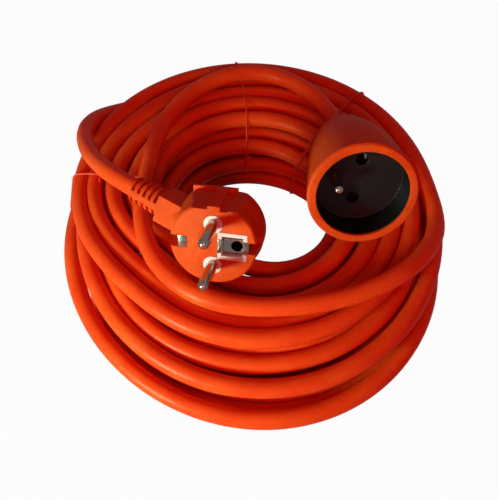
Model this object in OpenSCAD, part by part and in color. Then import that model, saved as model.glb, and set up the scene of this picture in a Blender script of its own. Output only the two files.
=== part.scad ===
// Extension cord, coiled and tied: an angled two-pin earthed plug at one end
// and a single coupler socket with an earth pin at the other.
// Millimetres, +Z up, standing on Z = 0.

/* [Cord] */
// Outer diameter of the round three-core cord
cord_d = 8.6; // [8:0.1:8.8]
// Outer diameter of one insulated core
core_d = 2.6; // [2:0.1:3]
// Distance of each core from the cord's centre line
core_r = 1.9; // [1.6:0.1:2.2]

/* [Coil] */
// Innermost radius of the floor layer and the third layer, to the cord's centre
coil_r = 43.4; // [43:0.2:50]
// How much wider the second and the top layer are, so that the turns interlock
nest = 3.6; // [3:0.2:5]
// How much wider the floor layer starts than the pile's inner radius
floor_open = 6; // [4:0.5:7]
// Free space between neighbouring turns of a layer
turn_gap = 0.9; // [0.6:0.1:1.4]
// Free space between one layer and the next
layer_gap = 1.9; // [1.5:0.1:2.2]
// Turns in the layer that lies on the floor
turns_floor = 4.2; // [4.1:0.1:4.3]
// Turns in each of the two middle layers
turns_mid = 5; // [4:1:5]
// Turns in the top layer
turns_top = 4.5; // [3.5:1:4.5]
// How far a turn swings aside where it climbs a layer
climb_bow = 5.2; // [5.2:0.1:6]
// How far the top layer lies to the left of the floor layer
lean_x = -0.4; // [-1:0.2:2]
// How far the top layer lies behind the floor layer
lean_y = 20.5; // [17:0.5:21]
// Share by which the pile is pressed longer one way and shorter across
oval = 0.025; // [0:0.005:0.03]
// Direction of the pile's longest diameter, in degrees
oval_at = -62; // [-75:1:-50]

/* [Ties] */
// Width of a tie strip
tie_w = 1.8; // [1:0.1:4]
// Thickness of a tie strip
tie_t = 0.7; // [0.5:0.1:1.2]
// Length of the loose tail behind each knot
tie_tail = 6; // [3:0.5:10]
// Angle of the left tie round the coil
tie_left_at = 172; // [168:1:178]
// Angle of the tie at the back
tie_back_at = 96; // [90:1:104]
// Angle of the tie at the right
tie_right_at = 47; // [42:1:52]

/* [Plug] */
// Diameter of the plug's face
plug_d = 37; // [36:0.5:39]
// Depth of the head behind its face
plug_depth = 21; // [20:0.5:24]
// Rounding of the head's rear edge
plug_round = 3; // [2:0.5:5]
// Diameter of a contact pin
pin_d = 4.8; // [4.7:0.01:4.85]
// Length of a contact pin in front of the face
pin_l = 19; // [18:0.1:19.5]
// Distance between the centres of the two pins
pin_pitch = 19; // [18.5:0.1:19.5]
// Distance of the earth contact from the line of the pins
earth_offset = 10; // [9.5:0.1:10.5]
// Diameter of the white collar round each pin
collar_d = 8; // [7:0.1:8.2]
// Side of the square white frame round the earth contact
earth_frame = 12.4; // [11:0.1:12.6]
// Width of the guide slots at the two sides
guide_w = 5.4; // [4.6:0.1:6]
// Wall between the earth frame and the floors of the guide slots
slot_wall = 0.5; // [0.3:0.1:0.6]
// Width of the key rib on the head
key_w = 5.2; // [4:0.1:6]
// How much the head swells towards its rear, short of the recess it plugs into
rear_swell = 1.2; // [0:0.1:1.3]
// Height of the key rib over the flat top
key_h = 1.5; // [1:0.1:2.4]
// Width and height of the square neck
neck_w = 12.6; // [12:0.1:14]
// Distance from the head's axis to the end of the neck
neck_end = 28.6; // [26:0.2:32]
// Angle of the cord exit towards the upper pin
exit_turn = 15; // [5:1:20]
// Angle of the cord exit towards the rear
exit_back = 17; // [10:1:25]

/* [Strain relief] */
// Length of the ribbed strain relief
relief_l = 15; // [12:0.5:20]
// Diameter of the relief where it leaves the neck
relief_d1 = 12.8; // [12:0.1:14]
// Diameter of the relief at its tip
relief_d2 = 11.4; // [11:0.1:12.4]
// Number of windows along each side of the relief
relief_windows = 5; // [3:1:5]
// Length of one window along the cord
relief_window = 1.5; // [1:0.1:1.8]
// Width of the spine between the two rows of windows
relief_spine = 3.2; // [2:0.1:4]

/* [Socket] */
// Width of the orange rim round the recess
rim_w = 3.65; // [3.4:0.05:4.5]
// Thickness of the rim ring
rim_t = 4; // [3:0.5:6]
// Step from the rim in to the shell behind it
rim_step = 1; // [0.5:0.1:1.2]
// Diameter of the shell where its dome begins
dome_d = 28; // [26:0.5:32]
// Length of the socket from rim to tail
socket_l = 62; // [60:0.5:70]
// Diameter of the recess that takes the plug's head
recess_d = 39.7; // [38.5:0.1:40]
// Depth of the recess
recess_depth = 15; // [14.5:0.1:17]
// Wall of the black insert
insert_wall = 1; // [0.8:0.1:1.1]
// Thickness of the insert's floor
insert_floor = 3; // [2:0.1:4]
// Height of the orange lip in front of the insert
lip = 1.6; // [1:0.1:3]
// Diameter of the contact holes
hole_d = 5.4; // [5.2:0.1:6]
// How far the earth pin's tip stays behind the rim
earth_pin_back = 1.2; // [0.5:0.1:3]

/* [Shutter] */
// Width of the shutter along its travel
shutter_w = 6.8; // [6.4:0.1:7.2]
// Length of the shutter across both contact holes
shutter_l = 27; // [26:0.1:27.4]
// Thickness of the shutter
shutter_t = 4.4; // [3.5:0.1:4.6]
// Travel that clears both contact holes
shutter_travel = 6.2; // [6:0.1:6.4]
// Wire diameter of the return spring
spring_wire = 0.5; // [0.4:0.05:0.6]
// Outer diameter of the return spring
spring_d = 3.6; // [3:0.1:4]
// Number of coils of the return spring
spring_coils = 5; // [4:1:6]

/* [Placement] */
// Plug face centre to the right of the coil's axis
plug_x = -17.8; // [-19:0.1:-16]
// Plug face centre behind the coil's axis
plug_y = -54; // [-55:0.1:-52]
// Height of the plug's face centre over the top of the pile
plug_rise = 24.2; // [23:0.1:26]
// Socket rim centre to the right of the coil's axis
socket_x = 45; // [44:0.1:46]
// Socket rim centre behind the coil's axis
socket_y = -35.5; // [-37:0.1:-34]
// Height of the socket's rim centre over the top of the pile
socket_rise = 33.7; // [33.5:0.1:37]

/* [Hidden] */

// Clearance between pieces that seat in one another
fit = 0.1;
// Clearance of sliding faces
slide_fit = 0.3;
// Small overrun of a cut past the face that it opens
past = 1;
$fn = 64;

// Shares of the drawing colours
ORANGE = [0.88, 0.25, 0.10];
DEEP = [0.78, 0.18, 0.07];
BLACK = [0.06, 0.06, 0.06];
WHITE = [0.93, 0.93, 0.90];
NICKEL = [0.72, 0.71, 0.68];
BROWN = [0.35, 0.18, 0.08];
BLUE = [0.10, 0.30, 0.75];
GREEN = [0.35, 0.65, 0.15];

// The object's own XY frame is centred on its bounding box
centre_x = 1.2;
centre_y = 8.4;

// ---------------------------------------------------------------- vectors

function unit(v) = v / norm(v);
function about_x(v, a) = [v.x, v.y * cos(a) - v.z * sin(a), v.y * sin(a) + v.z * cos(a)];
function about_y(v, a) = [v.x * cos(a) + v.z * sin(a), v.y, -v.x * sin(a) + v.z * cos(a)];
function about_z(v, a) = [v.x * cos(a) - v.y * sin(a), v.x * sin(a) + v.y * cos(a), v.z];
function turned(v, a) = about_z(about_y(about_x(v, a.x), a.y), a.z);
function smooth(s) = s * s * (3 - 2 * s);

// ------------------------------------------------------------------- tubes

// A ring of points round c, square to the direction t and with a side square to ref
function ring(c, t, r, sides, ref) =
    let (side = unit(cross(t, ref)), up = cross(side, t))
    [for (k = [0 : sides - 1]) let (a = 360 * k / sides) c + r * (cos(a) * side + sin(a) * up)];

function heading(p, i) = unit(p[min(i + 1, len(p) - 1)] - p[max(i - 1, 0)]);
function above_floor(v) = [v.x, v.y, max(v.z, 0)];

// One closed tube through the points p, cut flat at the floor if it lies there
module tube(p, d, sides, ref = [0, 0, 1], on_floor = false) {
    n = len(p);
    swept = [for (i = [0 : n - 1]) each ring(p[i], heading(p, i), d / 2, sides, ref)];
    rings = on_floor ? [for (v = swept) above_floor(v)] : swept;
    walls = [for (i = [0 : n - 2], k = [0 : sides - 1])
        let (a = i * sides + k, b = i * sides + (k + 1) % sides)
        each [[a, b, b + sides], [a, b + sides, a + sides]]];
    first_cap = [for (k = [1 : sides - 2]) [0, k + 1, k]];
    last_cap = [for (k = [1 : sides - 2])
        (n - 1) * sides * [1, 1, 1] + [0, k, k + 1]];
    polyhedron(rings, concat(walls, first_cap, last_cap));
}

// -------------------------------------------------------------------- coil

turn_pitch = cord_d + turn_gap;
layer_pitch = cord_d + layer_gap;
floor_cut = cord_d / 10;
floor_z = cord_d / 2 - floor_cut;
inner_r = [coil_r + floor_open, coil_r + nest, coil_r, coil_r + nest];
layer_turns = [turns_floor, turns_mid, turns_mid, turns_top];
function outer_r(layer) = inner_r[layer] + layer_turns[layer] * turn_pitch;
pile_top = floor_z + 3 * layer_pitch + cord_d / 2;

// Turn counts at which the cord leaves a layer or starts the next one
end_floor = turns_floor;
start_two = end_floor + 0.5;
end_two = start_two + turns_mid;
start_three = end_two + 0.5;
end_three = start_three + turns_mid;
start_top = end_three + 0.5;
end_top = start_top + turns_top;
rings_per_turn = 24;

// Half a turn of climb from radius a to radius b, s from 0 to 1, swung in (-1) or out (1)
function climb(s, a, b, way) =
    a + (b - a) * smooth(s) + way * (turn_pitch * s * (1 - s) / 2 + climb_bow * pow(sin(180 * s), 2));

function coil_radius(u) =
    u < end_floor ? inner_r[0] + (end_floor - u) * turn_pitch
    : u < start_two ? climb(2 * (u - end_floor), inner_r[0], inner_r[1], -1)
    : u < end_two ? inner_r[1] + (u - start_two) * turn_pitch
    : u < start_three ? climb(2 * (u - end_two), outer_r(1), outer_r(2), 1)
    : u < end_three ? inner_r[2] + (end_three - u) * turn_pitch
    : u < start_top ? climb(2 * (u - end_three), inner_r[2], inner_r[3], -1)
    : inner_r[3] + (u - start_top) * turn_pitch;

function step_up(u, from) = smooth(min(max(2 * (u - from), 0), 1));
function coil_layer(u) = step_up(u, end_floor) + step_up(u, end_two) + step_up(u, end_three);

// Lower layers lie further right and to the front than the top one
function lean(layer) = [lean_x, -lean_y, 0] * (1 - layer / 3);
// The whole pile is pressed slightly oval
function pressed(v) = v + oval * [
    cos(2 * oval_at) * v.x + sin(2 * oval_at) * v.y,
    sin(2 * oval_at) * v.x - cos(2 * oval_at) * v.y, 0];
function coil_at(u) =
    let (r = coil_radius(u), a = 360 * (turns_floor - u), layer = coil_layer(u))
    pressed([r * cos(a), r * sin(a), floor_z + layer * layer_pitch]) + lean(layer);

coil_steps = round(end_top * rings_per_turn);
winding = [for (i = [0 : coil_steps]) coil_at(end_top * i / coil_steps)];
coil_in_dir = unit(winding[1] - winding[0]);
coil_out_dir = unit(winding[coil_steps] - winding[coil_steps - 1]);
coil_start = winding[0] - cord_d * coil_in_dir;
coil_end = winding[coil_steps] + cord_d * coil_out_dir;

// Least gap between turns that are at least half a turn apart
half_turn = rings_per_turn / 2;
least_gap = min([for (i = [0 : coil_steps - half_turn], j = [i + half_turn : coil_steps])
    norm(winding[i] - winding[j])]) - cord_d;

module cord_coil() {
    echo(least_gap_mm = least_gap);
    color(ORANGE)
        in_place() tube(concat([coil_start], winding, [coil_end]), cord_d, 6, on_floor = true);
}

module in_place() {
    translate([centre_x, centre_y, 0]) children();
}

// ------------------------------------------------------- plug and its frame

// The plug's own frame: face centre at 0, pins along +Z and in line along Y,
// earth contact towards +X, cord leaving towards -X
plug_turns = [63, -2.2, -9.7];
plug_at = [plug_x, plug_y, pile_top + plug_rise];
function plug_point(v) = plug_at + turned(v, plug_turns);

head_r = plug_d / 2;
exit_dir = [-cos(exit_back) * cos(exit_turn), cos(exit_back) * sin(exit_turn), -sin(exit_back)];
exit_root = [0, 0, -plug_depth / 2];
relief_end = neck_end + relief_l;
// Where the cord's jacket stops inside the head
jacket_end = 14;
function along_exit(s) = exit_root + s * exit_dir;

module plug_place() {
    in_place() translate(plug_at) rotate(plug_turns) children();
}

// Z runs along the cord exit, Y stays in line with the pins
module exit_place(s) {
    translate(along_exit(s))
        rotate([0, 0, -exit_turn])
            rotate([0, -90 - exit_back, 0])
                children();
}

module at_pins() {
    for (side = [-1, 1])
        translate([0, side * pin_pitch / 2, 0]) children();
}

pin_root = 13;
shank_d = pin_d - 0.8;
collar_proud = 0.3;
bridge_t = 3;
bridge_z = 12;
frame_wall = 1.7;
frame_x = earth_offset - 1.8;
frame_deep = 6;
plate_t = 0.6;
plate_w = 6;
plate_z = 1.1;
earth_bore = pin_d + 0.2;
earth_tube_wall = 0.6;
earth_tube_floor = 1;
// Depth of the earth bore behind the face, for a pin that stands 13.8 mm in its recess
earth_depth = 14.4;
earth_tube_l = earth_depth + earth_tube_floor - plate_z - plate_t;
// Flare by which the square neck grows out of the head
flare_from = 10;
flare_d = 22;
flare_l = 10.5;
strip_t = 0.6;
strip_l = 9;
slot_floor = frame_x + earth_frame / 2 + slot_wall;
// Inner end of the left contact, which folds over the face
strip_in = slot_floor - 3.7;
guide_l = 10.4;
window_deep = 1;
// Distance of the flat top from the head's axis
flat_y = head_r - 2.6;
groove_w = 3;
groove_deep = 0.6;
bar_t = 2;
bar_h = 1.6;
bar_deep = 6;
bar_l = 19.5;
bar_from = -13;
// Round chamber behind the bridge, where the cores part
chamber_r = 14.5;
chamber_h = 8;
chamber_mid = plug_depth / 2 + jacket_end * sin(exit_back);

// Round-ended pin from z = foot to z = tip, on a thinner shank down to z = root
module pin(tip, foot, root) {
    translate([0, 0, root]) cylinder(d = shank_d, h = foot - root);
    translate([0, 0, foot]) cylinder(d = pin_d, h = tip - pin_d / 2 - foot);
    translate([0, 0, tip - pin_d / 2]) sphere(d = pin_d);
}

module plug_pin(side) {
    color(NICKEL) plug_place()
        translate([0, side * pin_pitch / 2, 0]) pin(pin_l, collar_proud, -pin_root);
}
module plug_pin_live() plug_pin(1);
module plug_pin_neutral() plug_pin(-1);

// White inner moulding: two collars and the earth frame on one bridge
module carrier_solid(g) {
    at_pins()
        translate([0, 0, -bridge_z - g])
            cylinder(d = collar_d + 2 * g, h = bridge_z + collar_proud + g);
    translate([frame_x, 0, (collar_proud - bridge_z) / 2])
        cube([earth_frame + 2 * g, earth_frame + 2 * g, bridge_z + collar_proud + 2 * g], center = true);
    translate([-collar_d / 2 - g, -pin_pitch / 2 - collar_d / 2 - g, -bridge_z - g])
        cube([frame_x + collar_d / 2 + 2 * g, pin_pitch + collar_d + 2 * g, bridge_t + 2 * g]);
}

module plug_pin_carrier() {
    frame_in = earth_frame - 2 * frame_wall;
    color(WHITE) plug_place() difference() {
        carrier_solid(0);
        at_pins() cylinder(d = shank_d + 2 * fit, h = 3 * bridge_z, center = true);
        translate([frame_x, 0, collar_proud + past - (frame_deep + past) / 2])
            cube([frame_in, frame_in, frame_deep + past], center = true);
        translate([frame_x, -plate_w / 2 - fit, -frame_deep])
            cube([earth_frame, plate_w + 2 * fit, frame_deep + past]);
        translate([slot_floor - strip_t - fit, -guide_w / 2 - fit, -strip_l - fit])
            cube([earth_frame, guide_w + 2 * fit, strip_l + past]);
        translate([earth_offset, 0, 0])
            cylinder(d = earth_bore + 2 * (earth_tube_wall + fit), h = 3 * bridge_z, center = true);
    }
}

module plug_earth_socket() {
    color(NICKEL) plug_place()
        translate([earth_offset, 0, -plate_z - plate_t - earth_tube_l])
            difference() {
                cylinder(d = earth_bore + 2 * earth_tube_wall, h = earth_tube_l);
                translate([0, 0, earth_tube_floor]) cylinder(d = earth_bore, h = earth_tube_l);
            }
}

// Lies across the frame and folds over its left wall. It ends in the open right wall
module plug_earth_plate() {
    left = frame_x - earth_frame / 2 + frame_wall + fit;
    right = slot_floor - strip_t - fit;
    fold = collar_proud + fit;
    color(NICKEL) plug_place()
        difference() {
            translate([0, -plate_w / 2, 0]) {
                translate([left, 0, -plate_z - plate_t]) cube([right - left, plate_w, plate_t]);
                translate([left, 0, -plate_z - plate_t])
                    cube([plate_t, plate_w, plate_z + 2 * plate_t + fold]);
                translate([left - frame_wall, 0, fold]) cube([frame_wall + plate_t, plate_w, plate_t]);
            }
            translate([earth_offset, 0, -plate_z - plate_t - past])
                cylinder(d = earth_bore, h = plate_z + plate_t + 2 * past);
        }
}

// Spring strip that lies in the guide slot and folds over the face
module side_strip(g) {
    translate([slot_floor - strip_t - g, -guide_w / 2 - g, -strip_l - g])
        cube([strip_t + 2 * g, guide_w + 2 * g, strip_l + g]);
    translate([strip_in - g, -guide_w / 2 - g, -strip_t - g])
        cube([slot_floor - strip_in, guide_w + 2 * g, strip_t + 2 * g]);
}

module plug_side_contact_left() {
    color(NICKEL) plug_place() mirror([1, 0, 0]) side_strip(0);
}
module plug_side_contact_right() {
    color(NICKEL) plug_place()
        translate([slot_floor - strip_t, -guide_w / 2, -strip_l])
            cube([strip_t, guide_w, strip_l - window_deep]);
}

module head_solid() {
    edge = 0.8;
    rear_r = head_r + rear_swell;
    low = plug_round - plug_depth;
    flare_up = -low / 3;
    rotate_extrude($fn = 96)
        difference() {
            union() {
                polygon([[0, low], [rear_r, low], [rear_r, low + flare_up], [head_r, low + 2 * flare_up],
                    [head_r, -edge], [head_r - edge, 0], [0, 0]]);
                translate([0, -plug_depth]) square([rear_r - plug_round, plug_round + edge]);
                translate([rear_r - plug_round, low]) circle(r = plug_round);
            }
            translate([-2 * head_r, -2 * head_r]) square([2 * head_r, 4 * head_r]);
        }
}

// The head's top is cut flat. A key rib, in line with the pins, stands on it beside
// a groove, and a grip bar closes it at the rear.
module top_flat() {
    translate([-head_r, flat_y, -plug_depth - past])
        cube([2 * head_r, head_r, plug_depth + 2 * past]);
    translate([key_w / 2, flat_y - groove_deep, bar_t - plug_depth])
        cube([groove_w, head_r, plug_depth + past]);
}
module key_rib() {
    translate([-key_w / 2, flat_y - groove_deep, bar_t - plug_depth])
        cube([key_w, groove_deep + key_h, plug_depth - bar_t]);
}
module grip_bar() {
    translate([bar_from, flat_y - bar_deep, -plug_depth])
        cube([bar_l, bar_deep + bar_h, bar_t]);
}

module neck_solid() {
    intersection() {
        exit_place(flare_from) cylinder(d1 = flare_d, d2 = neck_w, h = flare_l);
        translate([-2 * plug_d, -plug_d, -plug_depth]) cube([2 * plug_d, 2 * plug_d, plug_depth - 1.5]);
    }
    exit_place(neck_end / 2)
        translate([-neck_w / 2, -neck_w / 2, 0]) cube([neck_w, neck_w, neck_end / 2]);
}

function core_spot(k) = core_r * [cos(120 * k + 90), sin(120 * k + 90), 0];
// A point in the exit frame at distance s, given in the plug's frame
function exit_point(s, v) =
    along_exit(s) + about_z(about_y(v, -90 - exit_back), -exit_turn);
core_seat = 2;
plug_core_starts = [
    [0, pin_pitch / 2, -pin_root],
    [0, -pin_pitch / 2, -pin_root],
    [earth_offset - earth_bore / 2 - earth_tube_wall - core_d / 2 - fit, 0, -bridge_z - fit]
];

// Down from the contact, across the chamber and straight into the jacket's end
function plug_core_route(k) = [
    plug_core_starts[k],
    plug_core_starts[k] - [0, 0, core_seat],
    exit_point(jacket_end - core_seat, core_spot(k)),
    exit_point(jacket_end, core_spot(k))
];

module plug_core(k, colour) {
    color(colour) plug_place() tube(plug_core_route(k), core_d, 8, [1, 1, 0]);
}
module plug_core_live() plug_core(0, BROWN);
module plug_core_neutral() plug_core(1, BLUE);
module plug_core_earth() plug_core(2, GREEN);

module plug_body() {
    color(ORANGE) plug_place() difference() {
        union() {
            difference() {
                head_solid();
                top_flat();
            }
            key_rib();
            grip_bar();
            neck_solid();
        }
        carrier_solid(fit);
        translate([earth_offset, 0, -plate_z - plate_t - earth_tube_l - fit])
            cylinder(d = earth_bore + 2 * (earth_tube_wall + fit), h = earth_tube_l + 2 * plate_z);
        for (side = [0, 1]) mirror([side, 0, 0]) {
            side_strip(fit);
            translate([slot_floor, -guide_w / 2, -guide_l])
                cube([head_r + past - slot_floor, guide_w, guide_l + past]);
        }
        // The right slot runs in as far as the earth frame
        translate([frame_x, -guide_w / 2 + 0.5, -window_deep])
            cube([head_r, guide_w - 1, window_deep + past]);
        exit_place(jacket_end - fit) cylinder(d = cord_d + 2 * fit, h = neck_end);
        translate([0, 0, -chamber_mid]) cylinder(r = chamber_r, h = chamber_h, center = true);
    }
}

module plug_strain_relief() {
    window_pitch = relief_l / relief_windows;
    color(ORANGE) plug_place() exit_place(neck_end) difference() {
        cylinder(d1 = relief_d1, d2 = relief_d2, h = relief_l);
        translate([0, 0, -past]) cylinder(d = cord_d + 2 * fit, h = relief_l + 2 * past);
        for (i = [0 : relief_windows - 1], side = [0, 1])
            mirror([0, side, 0])
                translate([-relief_d1, relief_spine / 2, (i + 0.5) * window_pitch - relief_window / 2])
                    cube([2 * relief_d1, relief_d1, relief_window]);
    }
}

// ----------------------------------------------------- socket and its frame

// The socket's own frame: rim centre at 0, mouth towards +Z, contact holes in
// line along Y, earth pin towards -X
socket_turns = [67.6, 7.4, -1.8];
socket_at = [socket_x, socket_y, pile_top + socket_rise];
function socket_point(v) = socket_at + turned(v, socket_turns);

module socket_place() {
    in_place() translate(socket_at) rotate(socket_turns) children();
}

recess_r = recess_d / 2;
rim_r = recess_r + rim_w;
insert_r = recess_r + insert_wall;
floor_top = -recess_depth;
floor_bottom = -recess_depth - insert_floor;
pocket_deep = shutter_t + 2 * slide_fit;
flange_t = pocket_deep + 2;
flange_r = recess_r - 0.85;
carrier_r = 14.4;
// Length over which the three cores come together
core_fan = 10;
carrier_bottom = floor_bottom - flange_t - 12;
contact_wall = 0.7;
contact_top = floor_bottom - pocket_deep - 1;
contact_l = 10;
contact_tail = 3;
pin_tail_d = 3.6;
core_top = contact_top - contact_l - contact_tail;
cord_seat = carrier_bottom - core_fan;
dome_r = dome_d / 2;
dome_at = -socket_l + 8;
pocket_left = -shutter_w / 2 - slide_fit;
pocket_right = shutter_w / 2 + shutter_travel + 3.6;

// Radius of the shell at a share t of the way from the rim to the dome
function shell_radius(t) = dome_r + (rim_r - rim_step - dome_r) * (1 - pow(t, 2.2));

module shell_outline() {
    edge = 0.8;
    steps = 12;
    body_top = -rim_t;
    dome_steps = 8;
    dome_deep = socket_l + dome_at;
    tail_r = cord_d / 2 + 1.4;
    polygon(concat(
        [[0, 0], [rim_r - edge, 0], [rim_r, -edge], [rim_r, edge - rim_t], [rim_r - edge, -rim_t]],
        [for (i = [0 : steps]) let (t = i / steps) [shell_radius(t), body_top + t * (dome_at - body_top)]],
        [for (i = [1 : dome_steps]) let (a = 90 * i / dome_steps)
            [tail_r + (dome_r - tail_r) * cos(a), dome_at - dome_deep * sin(a)]],
        [[0, -socket_l]]
    ));
}

module shell_hollow() {
    // mouth, insert seat, carrier seat and the cone where the cores meet
    polygon([
        [0, past], [recess_r, past], [recess_r, -lip], [insert_r + fit, -lip],
        [insert_r + fit, floor_bottom], [flange_r + fit, floor_bottom],
        [flange_r + fit, floor_bottom - flange_t - fit], [carrier_r + fit, floor_bottom - flange_t - fit],
        [carrier_r + fit, carrier_bottom], [cord_d / 2 + fit, cord_seat - fit], [cord_d / 2 + fit, -socket_l - past],
        [0, -socket_l - past]
    ]);
}

module socket_shell() {
    color(ORANGE) socket_place()
        rotate_extrude($fn = 96) difference() {
            shell_outline();
            shell_hollow();
        }
}

module at_contacts() {
    for (side = [-1, 1])
        translate([0, side * pin_pitch / 2, 0]) children();
}

module socket_insert() {
    color(BLACK) socket_place() difference() {
        translate([0, 0, floor_bottom]) cylinder(r = insert_r, h = -floor_bottom - lip, $fn = 96);
        translate([0, 0, floor_top]) cylinder(r = recess_r, h = recess_depth, $fn = 96);
        at_contacts() translate([0, 0, floor_bottom - past]) cylinder(d = hole_d, h = insert_floor + 2 * past);
        translate([-earth_offset, 0, floor_bottom - past])
            cylinder(d = shank_d + 2 * fit, h = insert_floor + 2 * past);
    }
}

module socket_carrier() {
    color(BLACK) socket_place() difference() {
        union() {
            translate([0, 0, floor_bottom - flange_t]) cylinder(r = flange_r, h = flange_t);
            translate([0, 0, carrier_bottom]) cylinder(r = carrier_r, h = flange_t + 11);
        }
        translate([pocket_left, -shutter_l / 2 - slide_fit, floor_bottom - pocket_deep])
            cube([pocket_right - pocket_left, shutter_l + 2 * slide_fit, pocket_deep + past]);
        at_contacts() {
            translate([0, 0, contact_top - contact_l])
                cylinder(d = pin_d + 2 * (contact_wall + fit), h = contact_l + pocket_deep);
            translate([0, 0, carrier_bottom - past])
                cylinder(d = pin_tail_d + 2 * fit, h = contact_l);
        }
        translate([-earth_offset, 0, contact_top - contact_l - fit])
            cylinder(d = shank_d + 2 * fit, h = contact_l + flange_t + past);
        translate([-earth_offset, 0, carrier_bottom - past])
            cylinder(d = pin_tail_d + 2 * fit, h = contact_l);
    }
}

// Slotted sleeve with a crimp tail
module socket_contact(side) {
    color(NICKEL) socket_place()
        translate([0, side * pin_pitch / 2, contact_top - contact_l]) {
            difference() {
                cylinder(d = pin_d + 2 * contact_wall, h = contact_l);
                translate([0, 0, 1.5]) cylinder(d = pin_d - 0.1, h = contact_l);
                translate([-pin_d, -0.4, 3]) cube([2 * pin_d, 0.8, contact_l]);
            }
            translate([0, 0, -contact_tail]) cylinder(d = pin_tail_d, h = contact_tail);
        }
}
module socket_contact_live() socket_contact(1);
module socket_contact_neutral() socket_contact(-1);

module socket_earth_pin() {
    color(NICKEL) socket_place() translate([-earth_offset, 0, 0]) {
        pin(-earth_pin_back, floor_top, contact_top - contact_l);
        translate([0, 0, core_top]) cylinder(d = pin_tail_d, h = contact_tail);
    }
}

module socket_shutter() {
    half = shutter_w / 2;
    color(BLACK) socket_place()
        translate([0, shutter_l / 2, floor_bottom - slide_fit - shutter_t])
            rotate([90, 0, 0])
                linear_extrude(shutter_l)
                    polygon([[-half, 0], [half, 0], [half, shutter_t], [half - 1, shutter_t],
                        [-half, 1.2]]);
}

module shutter_spring() {
    turn_rings = 8;
    steps = spring_coils * turn_rings;
    mean_r = (spring_d - spring_wire) / 2;
    from = shutter_w / 2 + spring_wire / 2 + 0.05;
    upto = pocket_right - spring_wire / 2 - 0.05;
    color(NICKEL) socket_place()
        translate([0, 0, floor_bottom - pocket_deep / 2])
            tube([for (i = [0 : steps]) let (a = 360 * i / turn_rings)
                [from + (upto - from) * i / steps, mean_r * cos(a), mean_r * sin(a)]],
                spring_wire, 6, [1, 0, 0]);
}

socket_ends = [[0, pin_pitch / 2], [0, -pin_pitch / 2], [-earth_offset, 0]];
socket_spots = [[0, core_r], [core_r, -core_r / 2], [-core_r, -core_r / 2]];
module socket_core(k, colour) {
    end = socket_ends[k];
    spot = socket_spots[k];
    color(colour) socket_place()
        tube([[end.x, end.y, core_top], [end.x, end.y, core_top - core_seat],
            [spot.x, spot.y, cord_seat + core_seat], [spot.x, spot.y, cord_seat]],
            core_d, 8, [1, 1, 0]);
}
module socket_core_live() socket_core(0, BROWN);
module socket_core_neutral() socket_core(1, BLUE);
module socket_core_earth() socket_core(2, GREEN);

// ------------------------------------------------------------- free leads

// The routes are drawn for a round pile of this coil radius, and follow its real shape
route_r = 43.4;
function drawn(p) = [for (v = p) pressed(v + (coil_r - route_r) * unit([v.x, v.y, 0]))];

// From the plug over the outer edge at the back left and down to the floor layer
plug_route = drawn([
    [-73, -6, 56], [-81, 6, 51], [-87, 20, 46], [-89, 35, 41], [-85, 49, 34], [-77, 60, 27],
    [-66, 72, 20], [-54, 82, 13], [-38, 88, 8], [-19, 87, 5], [0, 82, 4]
]);
// From the top layer round the front, up the left and the back to the socket
socket_route = drawn([
    [85, -30, 39], [74, -46, 43], [60, -57, 44.5], [43, -65, 44.5], [24, -70, 44.5], [4, -72, 44.5],
    [-16, -71, 44.5], [-33, -64, 44.5], [-46, -51, 44.5], [-53, -34, 44.5], [-55, -16, 44.5],
    [-53, 2, 44.5], [-51, 20, 44.5], [-46, 38, 44.5], [-36, 54, 44.5], [-21, 68, 44.5],
    [-3, 75, 44.5], [15, 72, 44.5], [29, 62, 44.5]
]);

plug_tip = plug_point(along_exit(relief_end));
plug_exit = unit(plug_tip - plug_point(along_exit(neck_end)));
plug_inside = plug_point(along_exit(jacket_end));
socket_tip = socket_point([0, 0, -socket_l]);
socket_exit = unit(socket_tip - socket_at);
socket_inside = socket_point([0, 0, cord_seat]);

module plug_lead() {
    color(ORANGE) in_place() tube(concat(
        [plug_inside, plug_tip, plug_tip + cord_d * plug_exit], plug_route,
        [coil_start - cord_d * coil_in_dir, coil_start]), cord_d, 8, on_floor = true);
}

module socket_lead() {
    color(ORANGE) in_place() tube(concat(
        [coil_end, coil_end + cord_d * coil_out_dir], socket_route,
        [socket_tip + cord_d * socket_exit, socket_tip, socket_inside]), cord_d, 8);
}

// --------------------------------------------------------------------- ties

// Share of a turn at angle a, counted outwards from where each layer is innermost
function share(a, layer) = (layer % 2 == 0 ? a : (540 - a) % 360) / 360;
function reach_in(a, layer) = inner_r[layer] + turn_pitch * share(a, layer);
function reach_out(a, layer) =
    reach_in(a, layer) + turn_pitch * floor(layer_turns[layer] - share(a, layer));

// By how much the oval shape moves the pile outwards at angle a
function press_out(a) = 1 + oval * cos(2 * (a - oval_at));

// Taut outline round the pile at angle a, grown by g
module pile_outline(a, g) {
    hull() for (layer = [0 : 3], r = [reach_in(a, layer), reach_out(a, layer)]) {
        shift = lean(layer);
        translate([r * press_out(a) + shift.x * cos(a) + shift.y * sin(a), floor_z + layer * layer_pitch])
            circle(d = cord_d + 2 * g, $fn = 32);
    }
}

module above(z) {
    translate([-coil_r, z]) square([4 * outer_r(1), 2 * pile_top]);
}

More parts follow.
